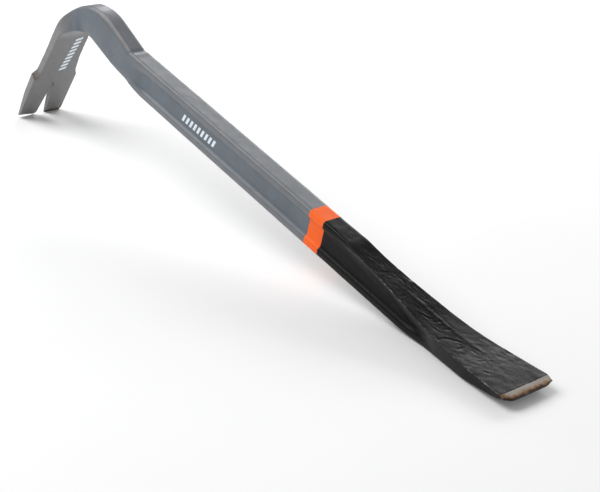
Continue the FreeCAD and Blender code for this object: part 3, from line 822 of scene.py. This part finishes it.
class PRYBAR_OT_grey(bpy.types.Operator):
    """Build the grey enamel from the claw to the orange band"""

    bl_idname = "prybar.grey"
    bl_label = "Grey enamel"

    def execute(self, context):
        sizes, colours = context.scene.pry_bar_sizes, context.scene.pry_bar_colours
        x = grey_stations()
        x = np.concatenate([x[:-1], [CLAW_TIP_X + 0.06]])
        reach = leg_reach(x)
        coat = sizes.coat / MM
        bare = coat + SUNK
        far = [bare * (1 - smooth_step(4.6, 5.6, reach)), 0 * x,
               bare * (1 - smooth_step(0.5, 1.2, reach))]
        near = [bare * (1 - smooth_step(0.8, 1.6, reach)), 0 * x,
                bare * (1 - smooth_step(0.5, 1.2, reach))]
        points, faces, on_wall = shell(x, sizes, [far, near], coat * COAT_SHARE)
        # The third colour is the paler one off the webs: partly dust, partly a painted sheen.
        material = enamel("grey_enamel", colours.grey, (0.155, 0.15, 0.15), (0.15, 0.118, 0.1),
                          (0.03, 0.022, 0.018), 0.4, 0.25)
        # The notch walls get a wear value of 1.1, which gives them the darkest colour all over:
        # painted shade inside the slot.
        add_piece("grey_enamel_coat", points, faces, material, ["grey_coat"],
                  np.maximum(grey_wear(points), 1.1 * on_wall), off_the_webs(points))
        return {"FINISHED"}


class PRYBAR_OT_orange(bpy.types.Operator):
    """Build the orange band"""

    bl_idname = "prybar.orange"
    bl_label = "Orange band"

    def execute(self, context):
        sizes, colours = context.scene.pry_bar_sizes, context.scene.pry_bar_colours
        x = stations(BAND_X[1], BAND_X[0], 1.0)
        flush = [0 * x, 0 * x, 0 * x]
        points, faces, _ = shell(x, sizes, [flush, flush], sizes.coat / MM * COAT_SHARE)
        material = enamel("orange_enamel", colours.orange, (1.0, 0.16, 0.02), (0.6, 0.08, 0.02),
                          (0.2, 0.05, 0.02), 0.38, 0.1, gleam=0.3)
        add_piece("orange_enamel_band", points, faces, material,
                  ["orange_band"], np.zeros(len(points)))
        return {"FINISHED"}


class PRYBAR_OT_black(bpy.types.Operator):
    """Build the black enamel from the orange band to the blade's tip"""

    bl_idname = "prybar.black"
    bl_label = "Black enamel"

    def execute(self, context):
        sizes, colours = context.scene.pry_bar_sizes, context.scene.pry_bar_colours
        coat = sizes.coat / MM
        x = np.concatenate([stations(TIP_X - 0.08, 594.2, 0.6), [593.7, 593.4],
                            stations(592.8, 428, 0.95), stations(427, BAND_X[1], 1.6)])
        flush = 0 * x
        worn_top = (coat + SUNK) * smooth_step(BEVEL_X, 593.9, x)
        points, faces, _ = shell(x, sizes, [[flush, worn_top, flush]] * 2, coat * COAT_SHARE)
        # The third colour is the paler one off the webs: partly dust, partly a painted sheen.
        material = enamel("black_enamel", colours.black, (0.006, 0.006, 0.0062),
                          (0.16, 0.14, 0.125), (0.5, 0.45, 0.4), 0.17, 0.0, fine=0.00008,
                          bare=True, gleam=0.13)
        add_piece("black_enamel_coat", points, faces, material, ["black_coat"],
                  black_wear(points), off_the_webs(points))
        return {"FINISHED"}


def stripe_row(along, across, outward, origin, height, proud):
    """Slanted stripes in a row on a flat face.  Each is a closed slab: a grid of along and across
    steps, domed at its rim by the lower of the two edge distances, and a flat back."""
    pitch = STRIPE_ROW_LENGTH / STRIPES
    u, v = np.meshgrid(np.linspace(0, 1, 9), np.linspace(0, 1, 13), indexing="ij")
    rim = np.minimum(np.minimum(u, 1 - u) * 8, np.minimum(v, 1 - v) * 12)
    dome = proud * np.clip(rim, 0.25, 1)
    points, faces, start = [], [], 0
    ids = np.arange(u.size).reshape(u.shape)
    for number in range(STRIPES):
        s = number * pitch + u * STRIPE_FILL * pitch + STRIPE_SLANT * v
        t = (v - 0.5) * height
        front = origin + s[..., None] * along + t[..., None] * across + dome[..., None] * outward
        back = origin + s[..., None] * along + t[..., None] * across - 0.1 * outward
        points += [front.reshape(-1, 3), back.reshape(-1, 3)]
        edge = np.concatenate([ids[:-1, 0], ids[-1, :-1], ids[:0:-1, -1], ids[0, :0:-1]])
        loop = np.append(edge, edge[0])
        turned = np.cross(along, across) @ outward < 0
        front_faces = quads(ids, turned)
        back_faces = quads(ids, not turned) + ids.size
        sides = quads(np.stack([loop, loop + ids.size]), turned)
        faces.append(np.concatenate([front_faces, back_faces, sides]) + start)
        start += 2 * ids.size
    return np.concatenate(points), list(np.concatenate(faces))


class PRYBAR_OT_print(bpy.types.Operator):
    """Build the printed stripes on the shank's web and on the leg's inner face"""

    bl_idname = "prybar.print"
    bl_label = "Printed stripes"

    def execute(self, context):
        sizes, colours = context.scene.pry_bar_sizes, context.scene.pry_bar_colours
        ink = printing_ink(tuple(colours.ink))
        height = sizes.stripe_height / MM
        web = (sizes.shank_width / 2 - sizes.recess_depth) / MM
        points, faces = stripe_row(np.array([1.0, 0, 0]), np.array([0, 0, 1.0]),
                                   np.array([0, -1.0, 0]), np.array([222.5, -web, -1.0]),
                                   height, 0.07)
        add_piece("shank_stripes", points, faces, ink, ["shank_mark"])
        lean = math.radians(24)
        up = np.array([math.sin(lean), 0, math.cos(lean)])
        outward = np.array([math.cos(lean), 0, -math.sin(lean)])
        crooked = math.radians(6)
        across = np.array([0, 1.0, 0])
        line = up * math.cos(crooked) + across * math.sin(crooked)
        over = across * math.cos(crooked) - up * math.sin(crooked)
        start = np.array([LEG_TIP[0], 3.0, LEG_TIP[1]]) + up * 65.0
        points, faces = stripe_row(line, over, outward, start, height, 0.08)
        add_piece("leg_stripes", points, faces, ink, ["leg_mark"])
        return {"FINISHED"}


class PRYBAR_OT_stage(bpy.types.Operator):
    """Build the floor, the lamps and the camera"""

    bl_idname = "prybar.stage"
    bl_label = "Stage"

    def execute(self, context):
        settings = context.scene.pry_bar_stage
        line = np.linspace(-FLOOR_REACH, FLOOR_REACH, FLOOR_LINES)
        across, along = np.meshgrid(line, line, indexing="ij")
        points = np.stack([across, along, 0 * across], -1).reshape(-1, 3)
        mesh = bpy.data.meshes.new("floor")
        faces = quads(np.arange(across.size).reshape(across.shape), False)
        mesh.from_pydata(points.tolist(), [], faces.tolist())
        mesh.materials.append(studio_paper(tuple(settings.floor)))
        floor = bpy.data.objects.new("floor", mesh)
        context.scene.collection.objects.link(floor)

        world = bpy.data.worlds.new("studio")
        world.use_nodes = True
        sky = world.node_tree.nodes["Background"]
        sky.inputs["Color"].default_value = (0.99, 0.995, 1.0, 1)
        sky.inputs["Strength"].default_value = WORLD_STRENGTH * settings.lamps
        context.scene.world = world
        context.scene.view_settings.view_transform = "Standard"
        for name, place, aim, size, power in LAMPS:
            lamp = bpy.data.lights.new(name, "AREA")
            lamp.shape = "RECTANGLE"
            lamp.size, lamp.size_y = size
            lamp.energy = power * settings.lamps
            holder = bpy.data.objects.new(name, lamp)
            holder.location = place
            direction = Vector(aim) - Vector(place)
            holder.rotation_euler = direction.to_track_quat("-Z", "Y").to_euler()
            context.scene.collection.objects.link(holder)

        camera = bpy.data.cameras.new("camera")
        camera.sensor_width = 36.0
        camera.lens = CAMERA_LENS
        camera.clip_start, camera.clip_end = 0.05, 50.0
        view = bpy.data.objects.new("camera", camera)
        view.location = CAMERA_PLACE
        view.rotation_euler = Euler(CAMERA_TURN, "XYZ")
        context.scene.collection.objects.link(view)
        context.scene.camera = view
        return {"FINISHED"}


class PRYBAR_PT_panel(bpy.types.Panel):
    """Lists the bar's pieces and settings"""

    bl_idname = "PRYBAR_PT_panel"
    bl_label = "Pry bar"
    bl_space_type = "VIEW_3D"
    bl_region_type = "UI"
    bl_category = "Pry bar"

    def draw(self, context):
        for settings in (context.scene.pry_bar_sizes, context.scene.pry_bar_colours,
                         context.scene.pry_bar_stage):
            box = self.layout.box()
            for name in settings.__annotations__:
                box.prop(settings, name)
        for operator in OPERATORS:
            self.layout.operator(operator.bl_idname)


SETTINGS = (("pry_bar_sizes", BarSizes), ("pry_bar_colours", BarColours),
            ("pry_bar_stage", StageSettings))
OPERATORS = (PRYBAR_OT_steel, PRYBAR_OT_grey, PRYBAR_OT_orange, PRYBAR_OT_black,
             PRYBAR_OT_print, PRYBAR_OT_stage)


def register():
    """Register the settings, the operators and the panel."""
    for name, group in SETTINGS:
        bpy.utils.register_class(group)
        setattr(bpy.types.Scene, name, PointerProperty(type=group))
    for group in (*OPERATORS, PRYBAR_PT_panel):
        bpy.utils.register_class(group)


def unregister():
    """Take back everything that register adds, in the opposite order."""
    for group in (PRYBAR_PT_panel, *reversed(OPERATORS)):
        bpy.utils.unregister_class(group)
    for name, group in reversed(SETTINGS):
        delattr(bpy.types.Scene, name)
        bpy.utils.unregister_class(group)


def main():
    """Build every piece and the stage."""
    register()
    bpy.ops.prybar.steel()
    bpy.ops.prybar.grey()
    bpy.ops.prybar.orange()
    bpy.ops.prybar.black()
    bpy.ops.prybar.print()
    bpy.ops.prybar.stage()


if __name__ == "__main__":
    main()
